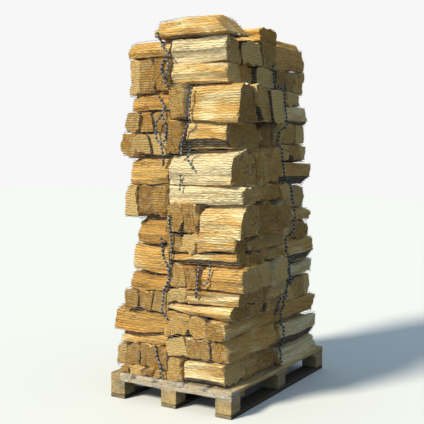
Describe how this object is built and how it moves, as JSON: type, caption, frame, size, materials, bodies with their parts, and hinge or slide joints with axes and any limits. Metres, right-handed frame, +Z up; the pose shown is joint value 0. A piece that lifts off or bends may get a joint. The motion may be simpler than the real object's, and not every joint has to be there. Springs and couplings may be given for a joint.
{
  "type": "pallet stack of split firewood",
  "caption": "Tall crib stack of split firewood logs on a wooden block pallet, held by a knitted net sleeve and a strip of stretch film, ready for a fork lift.",
  "frame": {"origin": "middle of the underside of the pallet's middle runner", "axes": "+Z up, the pallet's long side along Y, its sunlit short side (the front) towards -Y"},
  "size_m": [0.86, 1.2018, 2.138],
  "materials": {
    "split_wood": "split and sawn, dry, with some bark",
    "pallet_board": "rough sawn, weathered",
    "pallet_block": "rough sawn, weathered",
    "net": "knitted tape, slightly shiny",
    "film": "clear, wrinkled"
  },
  "bodies": {
    "root": {"log_top_1": "split_wood", "log_top_2": "split_wood", "log_top_3": "split_wood", "logs_back_left_tier_1": "split_wood", "logs_back_left_tier_2": "split_wood", "logs_back_left_tier_3": "split_wood", "logs_back_left_tier_4": "split_wood", "logs_back_left_tier_5": "split_wood", "logs_back_left_tier_6": "split_wood", "logs_back_left_tier_7": "split_wood", "logs_back_right_tier_1": "split_wood", "logs_back_right_tier_2": "split_wood", "logs_back_right_tier_3": "split_wood", "logs_back_right_tier_4": "split_wood", "logs_back_right_tier_5": "split_wood", "logs_back_right_tier_6": "split_wood", "logs_back_right_tier_7": "split_wood", "logs_back_right_tier_8": "split_wood", "logs_front_left_tier_1": "split_wood", "logs_front_left_tier_2": "split_wood", "logs_front_left_tier_3": "split_wood", "logs_front_left_tier_4": "split_wood", "logs_front_left_tier_5": "split_wood", "logs_front_left_tier_6": "split_wood", "logs_front_left_tier_7": "split_wood", "logs_front_left_tier_8": "split_wood", "logs_front_right_tier_1": "split_wood", "logs_front_right_tier_2": "split_wood", "logs_front_right_tier_3": "split_wood", "logs_front_right_tier_4": "split_wood", "logs_front_right_tier_5": "split_wood", "logs_front_right_tier_6": "split_wood", "logs_front_right_tier_7": "split_wood", "logs_front_right_tier_8": "split_wood", "net_sleeve": "net", "pallet_block_back_left": "pallet_block", "pallet_block_back_middle": "pallet_block", "pallet_block_back_right": "pallet_block", "pallet_block_centre_left": "pallet_block", "pallet_block_centre_middle": "pallet_block", "pallet_block_centre_right": "pallet_block", "pallet_block_front_left": "pallet_block", "pallet_block_front_middle": "pallet_block", "pallet_block_front_right": "pallet_block", "pallet_deck_1": "pallet_board", "pallet_deck_2": "pallet_board", "pallet_deck_3": "pallet_board", "pallet_deck_4": "pallet_board", "pallet_deck_5": "pallet_board", "pallet_runner_left": "pallet_block", "pallet_runner_middle": "pallet_block", "pallet_runner_right": "pallet_block", "pallet_stringer_back": "pallet_board", "pallet_stringer_centre": "pallet_board", "pallet_stringer_front": "pallet_board", "stretch_film": "film"}
  },
  "joints": []
}
